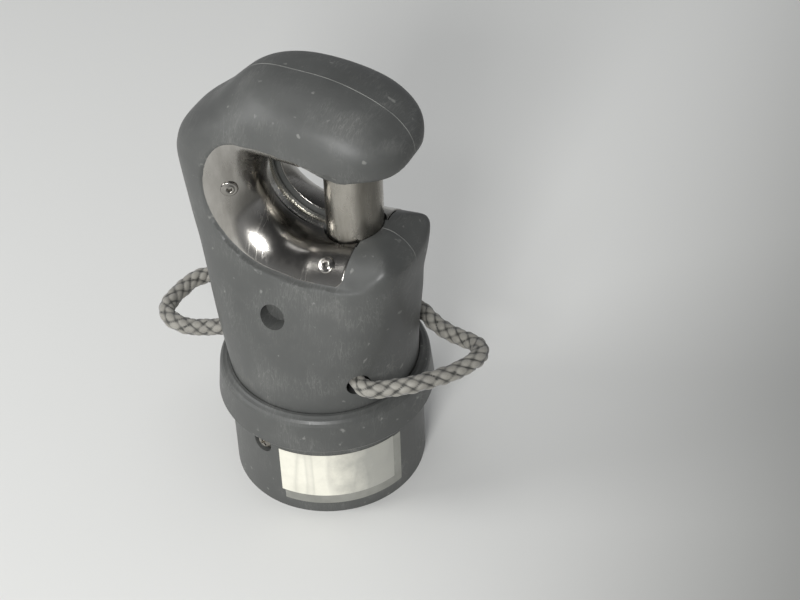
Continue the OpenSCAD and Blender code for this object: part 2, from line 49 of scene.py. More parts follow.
# ---- camera, at the photograph's angle
viewpoint = {
    "place": (0.21732, -0.37640, 0.44785),
    "looksAlong": (-0.33617, 0.67003, -0.66185),
    "lens": 80.1,
    "roll": -0.034,
}


def addCamera(s):
    forward = Vector(s["looksAlong"]).normalized()
    right = forward.cross(Vector((0, 0, 1))).normalized()
    up = right.cross(forward)
    turn, tilt = math.cos(s["roll"]), math.sin(s["roll"])
    across = right * turn + up * tilt
    upright = up * turn - right * tilt
    lensData = bpy.data.cameras.new("photoCamera")
    lensData.lens = s["lens"]
    lensData.sensor_width = 36
    lensData.clip_start = 0.01
    camera = bpy.data.objects.new("photoCamera", lensData)
    bpy.context.scene.collection.objects.link(camera)
    turned = Matrix((across, upright, -forward)).transposed().to_4x4()
    camera.matrix_world = Matrix.Translation(s["place"]) @ turned
    bpy.context.scene.camera = camera


addCamera(viewpoint)
print("camera placed")


# ---- small tools shared by all pieces
def smoothBetween(rows, at):
    # a row of a table at a place between its rows, on a smooth curve
    spot = min(max(at, 0.0), len(rows) - 1.0)
    k = min(int(spot), len(rows) - 2)
    t = spot - k
    before, low, high, after = (rows[min(max(k + j, 0), len(rows) - 1)] for j in (-1, 0, 1, 2))
    return [
        b + 0.5 * t * ((c - a) + t * ((2 * a - 5 * b + 4 * c - d) + t * (3 * (b - c) + d - a)))
        for a, b, c, d in zip(before, low, high, after)
    ]


def polar(radius, degrees):
    return radius * math.cos(math.radians(degrees)), radius * math.sin(math.radians(degrees))


def gridSheet(uSteps, vSteps, place, weld=0.0005):
    # a grid whose points are moved to place(u, v), with u and v from 0 to 1
    bm = bmesh.new()
    bm.loops.layers.uv.new("UVMap")
    bmesh.ops.create_grid(bm, x_segments=uSteps, y_segments=vSteps, size=0.5, calc_uvs=True)
    for v in bm.verts:
        v.co = place(v.co.x + 0.5, v.co.y + 0.5)
    if weld:
        bmesh.ops.remove_doubles(bm, verts=bm.verts, dist=weld)
    return bm


def turnedShape(profile, steps=64):
    # a profile of (radius, height) spun round the Z axis
    bm = bmesh.new()
    verts = [bm.verts.new((r, 0, z)) for r, z in profile]
    edges = [bm.edges.new(pair) for pair in zip(verts, verts[1:])]
    bmesh.ops.spin(bm, geom=verts + edges, cent=(0, 0, 0), axis=(0, 0, 1),
                   angle=math.tau, steps=steps, use_merge=True, use_normal_flip=False)
    bmesh.ops.remove_doubles(bm, verts=bm.verts, dist=0.0005)
    bmesh.ops.recalc_face_normals(bm, faces=bm.faces)
    return bm


def prism(outline, low, high):
    # a flat outline in X and Z, drawn through from y = low to y = high
    bm = bmesh.new()
    face = bm.faces.new([bm.verts.new((x, low, z)) for x, z in outline])
    grown = bmesh.ops.extrude_face_region(bm, geom=[face])
    moved = [g for g in grown["geom"] if isinstance(g, bmesh.types.BMVert)]
    bmesh.ops.translate(bm, vec=(0, high - low, 0), verts=moved)
    bmesh.ops.recalc_face_normals(bm, faces=bm.faces)
    return bm


def barrel(radius, low, high, sides=64):
    bm = bmesh.new()
    bmesh.ops.create_cone(bm, cap_ends=True, segments=sides, radius1=radius, radius2=radius,
                          depth=high - low, matrix=Matrix.Translation((0, 0, (low + high) / 2)))
    return bm


def block(low, high):
    bm = bmesh.new()
    size = [h - l for l, h in zip(low, high)]
    centre = [(l + h) / 2 for l, h in zip(low, high)]
    bmesh.ops.create_cube(bm, size=1, matrix=Matrix.Translation(centre) @ Matrix.Diagonal((*size, 1)))
    return bm


def movedTo(bm, matrix):
    bmesh.ops.transform(bm, matrix=matrix, verts=bm.verts)
    return bm


def asObject(name, bm):
    mesh = bpy.data.meshes.new(name)
    bm.to_mesh(mesh)
    bm.free()
    piece = bpy.data.objects.new(name, mesh)
    bpy.context.scene.collection.objects.link(piece)
    return piece


def applyAll(piece):
    # keeps what the piece's modifiers make, and removes them
    bpy.context.view_layer.update()
    graph = bpy.context.evaluated_depsgraph_get()
    made = bpy.data.meshes.new_from_object(piece.evaluated_get(graph), depsgraph=graph)
    piece.modifiers.clear()
    old = piece.data
    piece.data = made
    bpy.data.meshes.remove(old)


def cut(piece, tool, operation="DIFFERENCE"):
    cutter = tool if isinstance(tool, bpy.types.Object) else asObject("cutter", tool)
    step = piece.modifiers.new("cut", "BOOLEAN")
    step.operation = operation
    step.solver = "EXACT"
    step.object = cutter
    applyAll(piece)
    bpy.data.objects.remove(cutter)


def softEdges(piece, width, segments=2, angle=40):
    step = piece.modifiers.new("softEdges", "BEVEL")
    step.width = width
    step.segments = segments
    step.limit_method = "ANGLE"
    step.angle_limit = math.radians(angle)
    step.harden_normals = False
    applyAll(piece)


def finishPiece(piece, body, finish, *stands, sharp=32, scale=0.001):
    # from millimetres to metres, smooth but for its sharp edges, riding on its body
    piece.data.transform(Matrix.Scale(scale, 4))
    for face in piece.data.polygons:
        face.use_smooth = True
    piece.data.set_sharp_from_angle(angle=math.radians(sharp))
    piece.data.materials.clear()
    piece.data.materials.append(finish)
    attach(piece, body)
    if stands:
        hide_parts(*stands)
    return piece


# ---- materials
def newFinish(name):
    material = bpy.data.materials.new(name)
    material.use_nodes = True
    tree = material.node_tree
    shader = tree.nodes["Principled BSDF"]
    return material, tree, shader


def addNode(tree, kind, inputs=None, **settings):
    node = tree.nodes.new(kind)
    for key, value in settings.items():
        setattr(node, key, value)
    for key, value in (inputs or {}).items():
        if isinstance(value, bpy.types.NodeSocket):
            tree.links.new(value, node.inputs[key])
        else:
            node.inputs[key].default_value = value
    return node


def ownPlace(tree, stretch=(1, 1, 1), turn=(0, 0, 0)):
    where = addNode(tree, "ShaderNodeTexCoord")
    return addNode(tree, "ShaderNodeMapping", {
        "Vector": where.outputs["Object"], "Scale": stretch, "Rotation": turn}).outputs[0]


def grain(tree, place, scale, detail=4, rough=0.55):
    return addNode(tree, "ShaderNodeTexNoise", {
        "Vector": place, "Scale": scale, "Detail": detail, "Roughness": rough}).outputs["Fac"]


def between(tree, value, low, high, toLow=0.0, toHigh=1.0, smooth=False):
    node = addNode(tree, "ShaderNodeMapRange", {
        "Value": value, "From Min": low, "From Max": high, "To Min": toLow, "To Max": toHigh})
    if smooth:
        node.interpolation_type = "SMOOTHSTEP"
    return node.outputs["Result"]


def maths(tree, operation, a, b=0.0):
    return addNode(tree, "ShaderNodeMath", {0: a, 1: b}, operation=operation).outputs[0]


def blendColours(tree, amount, one, two):
    node = addNode(tree, "ShaderNodeMix", data_type="RGBA")
    for key, value in (("Factor", amount), ("A", one), ("B", two)):
        socket = [i for i in node.inputs if i.name == key and i.enabled][0]
        if isinstance(value, bpy.types.NodeSocket):
            tree.links.new(value, socket)
        else:
            socket.default_value = value
    return [o for o in node.outputs if o.enabled][0]


def raised(tree, shader, height, distance, strength=1.0, under=None):
    node = addNode(tree, "ShaderNodeBump", {
        "Height": height, "Distance": distance, "Strength": strength})
    if under:
        tree.links.new(under.outputs[0], node.inputs["Normal"])
    tree.links.new(node.outputs[0], shader.inputs["Normal"])
    return node


def scratches(tree, scale, long, turn, thin=0.06):
    # thin lines where a noise that is drawn out along one direction crosses its middle
    place = ownPlace(tree, (scale, scale / long, scale / long), turn)
    value = grain(tree, place, 1.0, 1.5, 0.4)
    line = maths(tree, "ABSOLUTE", maths(tree, "SUBTRACT", value, 0.5))
    return between(tree, line, 0.0, thin, 1.0, 0.0)


mouldedGrey = {
    "colour": (0.088, 0.090, 0.086, 1), "pale": (0.135, 0.135, 0.128, 1), "deep": (0.068, 0.070, 0.067, 1),
    "scuff": (0.30, 0.30, 0.28, 1), "roughness": (0.36, 0.52),
}


def makeMouldedGrey(name, s, seam=False):
    material, tree, shader = newFinish(name)
    place = ownPlace(tree)
    cloud = grain(tree, place, 38, 5, 0.6)
    speckle = grain(tree, place, 900, 2)
    base = blendColours(tree, between(tree, cloud, 0.35, 0.68), s["deep"], s["colour"])
    base = blendColours(tree, between(tree, cloud, 0.6, 0.78, 0, 0.5), base, s["pale"])
    lines = scratches(tree, 900, 6, (0.4, 0.8, 0.6), 0.02)
    lines = maths(tree, "MAXIMUM", lines, scratches(tree, 800, 7, (1.2, 0.2, 2.0), 0.02))
    lines = maths(tree, "MAXIMUM", lines, scratches(tree, 1000, 6, (2.1, 1.1, 0.3), 0.02))
    where = between(tree, grain(tree, place, 75, 4), 0.45, 0.75)
    marks = maths(tree, "MULTIPLY", lines, where)
    base = blendColours(tree, maths(tree, "MULTIPLY", marks, 0.32), base, s["scuff"])
    dots = between(tree, grain(tree, place, 330, 2, 0.4), 0.70, 0.76, 0, 0.45)
    base = blendColours(tree, dots, base, s["scuff"])
    tree.links.new(base, shader.inputs["Base Color"])
    tree.links.new(between(tree, cloud, 0.3, 0.7, *s["roughness"]), shader.inputs["Roughness"])
    shader.inputs["Specular IOR Level"].default_value = 0.45
    fine = raised(tree, shader, speckle, 0.00006, 0.5)
    last = raised(tree, shader, marks, 0.00005, -0.6, fine)
    if seam:
        across = addNode(tree, "ShaderNodeSeparateXYZ", {
            "Vector": addNode(tree, "ShaderNodeTexCoord").outputs["Object"]})
        ridge = between(tree, maths(tree, "ABSOLUTE", across.outputs["Y"]), 0.00008, 0.0003, 1, 0, True)
        high = between(tree, across.outputs["Z"], 0.093, 0.099)
        worn = between(tree, grain(tree, place, 120, 3), 0.35, 0.6, 0.25, 0.9)
        pale = maths(tree, "MULTIPLY", maths(tree, "MULTIPLY", ridge, high), worn)
        tree.links.new(blendColours(tree, pale, base, s["scuff"]), shader.inputs["Base Color"])
        raised(tree, shader, maths(tree, "MULTIPLY", ridge, high), 0.0002, 0.8, last)
    return material


steelLooks = {
    "polished": {"colour": (0.42, 0.405, 0.38, 1), "dark": (0.24, 0.23, 0.21, 1),
                 "roughness": (0.12, 0.28), "lines": 0.35},
    "bright": {"colour": (0.74, 0.73, 0.69, 1), "dark": (0.52, 0.50, 0.47, 1),
               "roughness": (0.16, 0.3), "lines": 0.5},
    "turned": {"colour": (0.42, 0.40, 0.36, 1), "dark": (0.22, 0.205, 0.18, 1),
               "roughness": (0.20, 0.36), "lines": 0.6},
}


def makeSteel(name, s):
    material, tree, shader = newFinish(name)
    place = ownPlace(tree)
    # stains that run up and down
    cloud = grain(tree, ownPlace(tree, (1, 1, 0.22)), 130, 4, 0.6)
    lines = scratches(tree, 520, 5, (0.7, 0.3, 1.1), 0.04)
    lines = maths(tree, "MAXIMUM", lines, scratches(tree, 480, 5, (2.0, 1.3, 0.4), 0.04))
    lines = maths(tree, "MULTIPLY", lines, between(tree, grain(tree, place, 110, 3), 0.5, 0.62))
    base = blendColours(tree, between(tree, cloud, 0.4, 0.75), s["colour"], s["dark"])
    base = blendColours(tree, maths(tree, "MULTIPLY", lines, 0.35 * s["lines"]), base, s["dark"])
    tree.links.new(base, shader.inputs["Base Color"])
    shader.inputs["Metallic"].default_value = 1.0
    rough = between(tree, cloud, 0.3, 0.75, *s["roughness"])
    rough = maths(tree, "ADD", rough, maths(tree, "MULTIPLY", lines, 0.12))
    tree.links.new(rough, shader.inputs["Roughness"])
    raised(tree, shader, lines, 0.00003, s["lines"])
    return material


def makePlain(name, colour, roughness, metallic=0.0, bump=0.00004):
    material, tree, shader = newFinish(name)
    place = ownPlace(tree)
    cloud = grain(tree, place, 90, 4)
    darker = tuple(c * 0.7 for c in colour[:3]) + (1,)
    tree.links.new(blendColours(tree, between(tree, cloud, 0.35, 0.7), colour, darker),
                   shader.inputs["Base Color"])
    tree.links.new(between(tree, cloud, 0.3, 0.7, roughness, roughness + 0.15),
                   shader.inputs["Roughness"])
    shader.inputs["Metallic"].default_value = metallic
    raised(tree, shader, grain(tree, place, 700, 2), bump, 0.6)
    return material


greySeamed = makeMouldedGrey("mouldedGreySeamed", mouldedGrey, seam=True)
greyPlain = makeMouldedGrey("mouldedGrey", mouldedGrey)
polished = makeSteel("polishedSteel", steelLooks["polished"])
turned = makeSteel("turnedSteel", steelLooks["turned"])
bright = makeSteel("brightSteel", steelLooks["bright"])
springWire = makePlain("springWire", (0.42, 0.42, 0.43, 1), 0.28, 1.0)
bearing = makePlain("bearingPlastic", (0.24, 0.24, 0.23, 1), 0.45)


# ---- the pull cord: one ring of braided line through the body's four holes
cordLook = {
    "diameter": 0.006,
    "ringsPerPoint": 12,
    "sides": 40,
    "strands": 8,
    "pitch": 0.0105,
    "relief": 0.0007,
    "route": [
        (0.028, -0.0215, 0.0555), (0.034, -0.0185, 0.056), (0.0395, -0.015, 0.0565),
        (0.044, -0.011, 0.057), (0.0485, -0.006, 0.057), (0.052, 0.0, 0.057),
        (0.0535, 0.005, 0.057), (0.052, 0.009, 0.0565), (0.0485, 0.0115, 0.0555),
        (0.044, 0.013, 0.0545), (0.038, 0.015, 0.0535), (0.032, 0.0175, 0.0535),
        (0.0275, 0.02, 0.054), (0.023, 0.0205, 0.0555), (0.0205, 0.018, 0.057),
        (0.019, 0.016, 0.061), (0.0195, 0.0155, 0.067), (0.0195, 0.015, 0.075),
        (0.0185, 0.015, 0.0795), (0.014, 0.015, 0.0815), (0.0095, 0.015, 0.0795),
        (0.008, 0.015, 0.075), (0.003, 0.015, 0.0695), (-0.004, 0.015, 0.0655),
        (-0.012, 0.013, 0.061), (-0.019, 0.011, 0.0575), (-0.025, 0.0115, 0.0555),
        (-0.031, 0.0135, 0.054), (-0.038, 0.014, 0.0525), (-0.045, 0.013, 0.0515),
        (-0.0505, 0.0105, 0.051), (-0.0535, 0.0065, 0.051), (-0.055, 0.0015, 0.0505),
        (-0.0555, -0.0045, 0.0505), (-0.0545, -0.01, 0.0505), (-0.0505, -0.0135, 0.0505),
        (-0.044, -0.0145, 0.0505), (-0.0375, -0.0135, 0.0515), (-0.031, -0.0125, 0.0535),
        (-0.025, -0.0115, 0.0555), (-0.019, -0.011, 0.0575), (-0.012, -0.013, 0.061),
        (-0.004, -0.015, 0.0655), (0.003, -0.015, 0.0695), (0.008, -0.015, 0.075),
        (0.0095, -0.015, 0.0795), (0.014, -0.015, 0.0815), (0.0185, -0.015, 0.0795),
        (0.0195, -0.015, 0.075), (0.0195, -0.0155, 0.067), (0.019, -0.016, 0.061),
        (0.0205, -0.018, 0.057), (0.0235, -0.0205, 0.0555), (0.028, -0.0215, 0.0555),
    ],
}


def makeBraid(s):
    material, tree, shader = newFinish("braidedLine")
    uv = addNode(tree, "ShaderNodeUVMap", uv_map="UVMap").outputs[0]
    fibre = addNode(tree, "ShaderNodeTexNoise", {
        "Vector": addNode(tree, "ShaderNodeMapping", {
            "Vector": uv, "Scale": (700, 40, 1)}).outputs[0],
        "Scale": 3.0, "Detail": 3.0}).outputs["Fac"]
    hollow = addNode(tree, "ShaderNodeAttribute", attribute_name="depth").outputs["Fac"]
    tone = grain(tree, ownPlace(tree), 120, 3)
    base = blendColours(tree, between(tree, tone, 0.35, 0.7), (0.24, 0.23, 0.20, 1), (0.14, 0.133, 0.115, 1))
    base = blendColours(tree, between(tree, fibre, 0.35, 0.75, 0, 0.5), base, (0.44, 0.425, 0.385, 1))
    # painted shade: the hollows between the strands are blended to near black by how deep they lie
    base = blendColours(tree, between(tree, hollow, 0.2, 0.8, 0, 1, True), base, (0.03, 0.03, 0.026, 1))
    tree.links.new(base, shader.inputs["Base Color"])
    shader.inputs["Roughness"].default_value = 0.62
    shader.inputs["Sheen Weight"].default_value = 0.25
    raised(tree, shader, fibre, 0.00008, 0.5)
    return material


def addCord(s, finish):
    route = [Vector(p) for p in s["route"]]
    count = len(route) - 1
    rings = count * s["ringsPerPoint"]

    def along(k):
        p = k / s["ringsPerPoint"]
        i, t = int(p) % count, p - int(p)
        a, b, c, d = (route[(i + j) % count] for j in (-1, 0, 1, 2))
        return b + 0.5 * t * ((c - a) + t * ((2 * a - 5 * b + 4 * c - d) + t * (3 * (b - c) + d - a)))

    centres = [along(k) for k in range(rings)]
    centres.append(centres[0].copy())
    run = [0.0]
    for a, b in zip(centres, centres[1:]):
        run.append(run[-1] + (b - a).length)
    turns = round(run[-1] / s["pitch"])
    reference = Vector((0.2, 1, 0.55)).normalized()
    frames = []
    for k in range(rings + 1):
        ahead = (centres[(k + 1) % rings] - centres[(k - 1) % rings]).normalized()
        across = ahead.cross(reference).normalized()
        frames.append((centres[k], across, across.cross(ahead)))
    depths = {}

    def lie(along, around):
        # which strand is on top here, and how far below its crown this point lies
        a = around * s["strands"] / 2 + along * turns * s["strands"] / 4
        b = around * s["strands"] / 2 - along * turns * s["strands"] / 4
        fa, fb = a % 1.0, b % 1.0
        over = (math.floor(a) + math.floor(b)) % 2 == 0
        crossing, length = (fa, fb) if over else (fb, fa)
        crown = math.sin(math.pi * crossing) ** 0.5
        arch = 0.55 + 0.45 * math.sin(math.pi * length)
        return 1 - crown * arch

    def place(u, v):
        k = round(u * rings)
        centre, across, up = frames[k]
        angle = math.tau * v
        low = lie(run[k] / run[-1], v)
        reach = s["diameter"] / 2 - 0.00006 - s["relief"] * low
        spot = centre + reach * (math.cos(angle) * across - math.sin(angle) * up)
        depths[tuple(round(c, 7) for c in spot)] = low
        return spot

    bm = gridSheet(rings, s["sides"], place, 0.000002)
    layer = bm.verts.layers.float.new("depth")
    for v in bm.verts:
        v[layer] = depths.get(tuple(round(c, 7) for c in v.co), 0.0)
    bmesh.ops.recalc_face_normals(bm, faces=bm.faces)
    cord = asObject("braidedPullCord", bm)
    finishPiece(cord, "housing", finish, "pull_cord", sharp=180, scale=1.0)
    [tuple(c) for c in centres]
    return round(run[-1], 4)


print("cord made,", addCord(cordLook, makeBraid(cordLook)), "m long")


# ---- the jaw: its flared throat, and the two pressed liners that line it
jaw = {
    "centre": (3.0, 117.0),       # throat axis, X and Z
    "throat": 16.5,
    "gap": 4.0,                   # half of the slot between the liners
    "rimFrom": 40.0,
    "rimStep": 20.0,
    "floorFrom": 280.0,           # where the throat's circle runs into the sloping floor
    "hang": 2.4,
    "floorGrow": 0.15,            # how fast the rim drops along the floor
    "rims": [  # round the throat: the rim's radius and half width, and how far it turns out
        (25.0, 19.0, 84), (21.2, 19.0, 84), (20.6, 19.0, 84), (21.3, 19.0, 84), (24.2, 19.0, 84),
        (29.2, 19.0, 84), (30.7, 19.0, 84), (30.7, 19.0, 82), (30.1, 19.0, 80), (28.8, 19.4, 76),
        (27.0, 19.8, 72), (25.2, 20.0, 70), (25.6, 20.0, 70),
    ],
}


def jawSection(degrees, share, run=0.0):
    # distance from the throat's axis and from the middle, at a share of the way to the rim
    turnTo = min(max(degrees, jaw["rimFrom"]), jaw["floorFrom"])
    rim, width, most = smoothBetween(jaw["rims"], (turnTo - jaw["rimFrom"]) / jaw["rimStep"])
    rim += jaw["floorGrow"] * run
    bend, end = math.radians(share * most), math.radians(most)
    radius = jaw["throat"] + (rim - jaw["throat"]) * (1 - math.cos(bend)) / (1 - math.cos(end))
    # under the hook it hangs lower on both sides, so its edge shows below the hook
    radius -= jaw["hang"] * math.sin(math.pi * min(share, 1.0)) * min(1.0, max(0.0, (130 - turnTo) / 25))
    return radius, jaw["gap"] + (width - jaw["gap"]) * math.sin(bend) / math.sin(end)


def onFlare(degrees, share, side, run=0.0):
    radius, width = jawSection(degrees, share, run)
    x, z = polar(radius, degrees)
    ahead = polar(run, jaw["floorFrom"] - 270)
    return Vector((jaw["centre"][0] + x + ahead[0], side * width, jaw["centre"][1] + z + ahead[1]))


def flareCutter(step=0.15):
    flat, full = 0.08, 0.88
    first = jaw["floorFrom"] - 270

    def place(u, v):
        degrees = first + 360 * (u if u < 0.9999 else 0.0)
        side = 1 if v > 0.5 else -1
        across = abs(2 * v - 1)
        beyond = max(0.0, degrees - jaw["floorFrom"])
        run = min(45.0, jaw["throat"] * math.tan(math.radians(min(beyond, 72))))
        if across <= flat:
            radius, width = jaw["throat"], jaw["gap"] * across / flat
        elif across <= full:
            radius, width = jawSection(degrees, (across - flat) / (full - flat), run)
        else:
            radius, width = jawSection(degrees, 1.0, run)
            radius, width = radius + step, width + (30 - width) * (across - full) / (1 - full)
        if beyond:
            radius = min(62.0, radius / max(0.05, math.cos(math.radians(beyond))))
        elif degrees < jaw["rimFrom"] and across > flat:
            opened = math.sin(math.radians(jaw["rimFrom"])) / math.sin(math.radians(degrees))
            radius = min(62.0, radius * opened)
        x, z = polar(radius, degrees)
        return Vector((jaw["centre"][0] + x, side * width, jaw["centre"][1] + z))

    bm = gridSheet(180, 50, place)
    bmesh.ops.holes_fill(bm, edges=[e for e in bm.edges if e.is_boundary])
    bmesh.ops.recalc_face_normals(bm, faces=bm.faces)
    return bm


linerShape = {"from": 82.0, "floorRun": (13.8, 17.4), "slant": 2.6, "corner": 3.0, "thick": 1.5, "bend": 0.88,
              "proud": 0.3}


def linerSheet(side, grown=0.0):
    s = linerShape
    first, last = s["from"] - 60 * grown, jaw["floorFrom"]

    def place(u, v):
        share = v * (1 + grown)
        if u <= s["bend"]:
            return onFlare(first + (last - first) * u / s["bend"], share, side)
        # along the floor, to an end that slants back and is rounded at its outer corner
        reach = s["floorRun"][side > 0] - s["slant"] * v - s["corner"] * max(0.0, (v - 0.8) / 0.2) ** 2
        run = (reach + 12 * grown) * (u - s["bend"]) / (1 - s["bend"])
        return onFlare(last, share, side, run)

    bm = gridSheet(125, 26, place)
    bmesh.ops.recalc_face_normals(bm, faces=bm.faces)
    # the face looks into the throat, and the wall grows away from it
    face = min(bm.faces, key=lambda f: (f.calc_center_median() - Vector((-13.5, side * 5, 117))).length)
    inward = Vector((jaw["centre"][0], side * 12, jaw["centre"][1])) - face.calc_center_median()
    if face.normal.dot(inward) < 0:
        bmesh.ops.reverse_faces(bm, faces=bm.faces)
    bm.normal_update()
    return bm


def linerSolid(name, side, thick, grown=0.0, proud=0.0):
    piece = asObject(name, linerSheet(side, grown))
    wall = piece.modifiers.new("wall", "SOLIDIFY")
    wall.thickness = thick
    wall.offset = 2 * proud / thick - 1
    applyAll(piece)
    return piece


# ---- the moulded body
bodyShape = {
    "sides": 96,
    "between": 4,
    "voxel": 0.75,
    "levels": [  # height, back, front, half width, squareness of the front and of the back
        (44.0, -31.3, 31.3, 31.3, 2.0, 2.0),
        (53.6, -32.33, 31.39, 30.69, 2.08, 2.14),
        (63.2, -33.63, 31.67, 29.03, 2.37, 2.33),
        (72.8, -34.93, 32.13, 26.71, 2.8, 2.57),
        (82.4, -36.23, 32.77, 24.31, 3.1, 2.82),
        (92.0, -37.53, 34.2, 22.44, 3.7, 3.1),
        (100.0, -38.9, 34.9, 21.9, 4.0, 3.2),
        (108.0, -39.9, 34.6, 21.6, 3.4, 3.3),
        (116.0, -40.9, 34.2, 21.3, 2.8, 3.4),
        (124.0, -41.8, 34.4, 21.2, 2.6, 3.4),
        (128.0, -41.5, 34.7, 21.1, 2.5, 3.2),
        (131.0, -40.4, 35.0, 21.1, 2.5, 3.0),
        (134.0, -37.8, 35.2, 21.2, 2.6, 2.9),
        (137.0, -34.3, 35.2, 21.2, 2.8, 2.8),
        (140.0, -30.6, 34.6, 21.0, 2.9, 2.8),
        (142.5, -28.0, 33.4, 20.6, 2.9, 2.6),
        (145.0, -25.6, 31.4, 19.8, 2.9, 2.5),
        (147.5, -23.2, 28.6, 18.7, 2.8, 2.3),
        (149.5, -21.2, 25.0, 17.2, 2.6, 2.2),
        (151.5, -19.0, 20.2, 15.0, 2.4, 2.2),
        (153.2, -16.4, 14.6, 12.2, 2.2, 2.1),
        (154.3, -13.0, 9.0, 9.0, 2.0, 2.0),
        (154.75, -9.6, 3.6, 5.6, 2.0, 2.0),
        (154.8, -6.4, -1.4, 2.4, 2.0, 2.0),
    ],
    "holes": (-42, 42, -155, 155),
}


def bodySkin(s):
    rows = s["levels"]
    steps = (len(rows) - 1) * s["between"]

    def place(u, v):
        z, back, front, half, squareFront, squareBack = smoothBetween(rows, v * (len(rows) - 1))
        angle = math.tau * u
        c, n = math.cos(angle), math.sin(angle)
        power = 2 / (squareFront if c > 0 else squareBack)
        middle, reach = (front + back) / 2, (front - back) / 2
        return Vector((middle + math.copysign(reach * abs(c) ** power, c),
                       math.copysign(half * abs(n) ** power, n), z))

    bm = gridSheet(s["sides"], steps, place)
    bmesh.ops.holes_fill(bm, edges=[e for e in bm.edges if e.is_boundary])
    bmesh.ops.recalc_face_normals(bm, faces=bm.faces)
    return bm


def mouthOutline():
    lip, beak, nose = 12.0, 4.0, 35.4
    lipZ = 100.5 + (nose - lip - 3) * math.tan(math.radians(10))
    low = [(14, lipZ), (nose - lip, lipZ)]
    low += [(nose - lip + polar(lip, a)[0], lipZ - lip + polar(lip, a)[1]) for a in range(80, -1, -10)]
    high = [(nose, 136.5)]
    high += [(nose - beak + polar(beak, a)[0], 136.5 + polar(beak, a)[1]) for a in range(-10, -91, -10)]
    return low + [(nose, lipZ - lip - 1), (60, lipZ - lip - 1), (60, 136.5)] + high + [(14, 131.6)]


def alongRadius(azimuth, height, bm):
    # lies what stands on the Z axis along the radius at an azimuth
    turnIt = Matrix.Rotation(math.radians(azimuth), 4, "Z")
    return movedTo(bm, turnIt @ Matrix.Translation((0, 0, height)) @ Matrix.Rotation(math.pi / 2, 4, "Y"))


def soften(piece, repeat, weight):
    # smooths the piece where weight(point) is above nothing
    group = piece.vertex_groups.new(name="soft")
    for v in piece.data.vertices:
        w = weight(v.co)
        if w > 0:
            group.add([v.index], w, "REPLACE")
    step = piece.modifiers.new("soften", "SMOOTH")
    step.factor = 0.5
    step.iterations = repeat
    step.vertex_group = "soft"
    applyAll(piece)
    piece.vertex_groups.clear()


def nearMouth(p):
    # the lip of the lower jaw and the underside of the hook's nose are well rounded
    lip = 1 - max(0.0, (Vector((p.x - 34, p.y * 0.3, p.z - 101)).length - 8) / 6)
    beak = 1 - max(0.0, (Vector((p.x - 29, p.y * 0.3, p.z - 131)).length - 6) / 6)
    return min(1.0, max(lip, beak, 0.0))


def addBody(s):
    body = asObject("mouldedBody", bodySkin(s))
    cut(body, flareCutter())
    cut(body, prism(mouthOutline(), -40, 40))
    even = body.modifiers.new("even", "REMESH")
    even.mode = "VOXEL"
    even.voxel_size = s["voxel"]
    even.use_smooth_shade = True
    applyAll(body)
    soften(body, 3, lambda p: 1.0)
    soften(body, 38, nearMouth)
    print("body shaped,", len(body.data.polygons), "faces")
    tools = []
    # the trigger's slot round the back of the throat
    ring = turnedShape([(12, -3.95), (27.84, -3.95), (27.84, 3.95), (12, 3.95), (12, -3.95)], 96)
    movedTo(ring, Matrix.Translation((3, 0, 117)) @ Matrix.Rotation(math.pi / 2, 4, "X"))
    slot = asObject("slot", ring)
    away = polar(60, 115)
    cut(slot, prism([(3, 117), (3 + away[0], 117 + away[1]), (-60, 117), (-60, 60), (8, 60)], -10, 10),
        "INTERSECT")
    tools.append(slot)
    # the plunger's bore up into the hook, the bush's seat and the hollow below
    tools.append(asObject("bore", movedTo(barrel(9.2, 60, 135.7), Matrix.Translation((14, 0, 0)))))
    tools.append(asObject("bushSeat", movedTo(barrel(10.2, 86, 99.2), Matrix.Translation((14, 0, 0)))))
    hollow = asObject("hollow", barrel(28.3, 47, 85, 96))
    cut(hollow, block((-60, -18.5, 40), (60, 18.5, 90)), "INTERSECT")
    tools.append(hollow)
    tools.append(asObject("throughSeat", barrel(24.6, 30, 49, 96)))
    for azimuth in s["holes"]:
        tools.append(asObject("hole", alongRadius(azimuth, 55.5, barrel(4.0, 18, 58, 48))))
    # the recess that the trigger's pin goes in through
    recess = movedTo(barrel(4.3, 19.5, 50, 64), Matrix.Rotation(math.pi / 2, 4, "X"))
    tools.append(asObject("recess", movedTo(recess, Matrix.Translation((-3.5, 0, 78)))))
    tools += [linerSolid("pocket", side, 1.75, 0.028) for side in (-1, 1)]
    group = bpy.data.collections.new("tools")
    bpy.context.scene.collection.children.link(group)
    for tool in tools:
        group.objects.link(tool)
    step = body.modifiers.new("cut", "BOOLEAN")
    step.operation = "DIFFERENCE"
    step.operand_type = "COLLECTION"
    step.solver = "EXACT"
    step.collection = group
    applyAll(body)
    for tool in tools:
        bpy.data.objects.remove(tool)
    bpy.data.collections.remove(group)
    finishPiece(body, "housing", greySeamed, "body")


addBody(bodyShape)
print("body made")


def joined(*parts):
    # several closed shapes as one mesh
    whole = bmesh.new()
    for part in parts:
        mesh = bpy.data.meshes.new("part")
        part.to_mesh(mesh)
        part.free()
        whole.from_mesh(mesh)
        bpy.data.meshes.remove(mesh)
    return whole


def tube(inner, outer, low, high, steps=96):
    return turnedShape([(inner, low), (outer, low), (outer, high), (inner, high), (inner, low)], steps)


def addInnerFrame():
    # the spigot inside the sleeve, the plunger's guide, its rib and the trigger spring's shelf
    guide = movedTo(tube(9.05, 12.05, 8, 87), Matrix.Translation((14, 0, 0)))
    piece = asObject("innerFrame", joined(
        tube(24.6, 28.1, 12, 46), guide,
        block((25, -1.5, 46), (29, 1.5, 86)), block((-28.8, -5, 55), (-8.5, 5, 58))))
    finishPiece(piece, "housing", greyPlain, "body")


addInnerFrame()


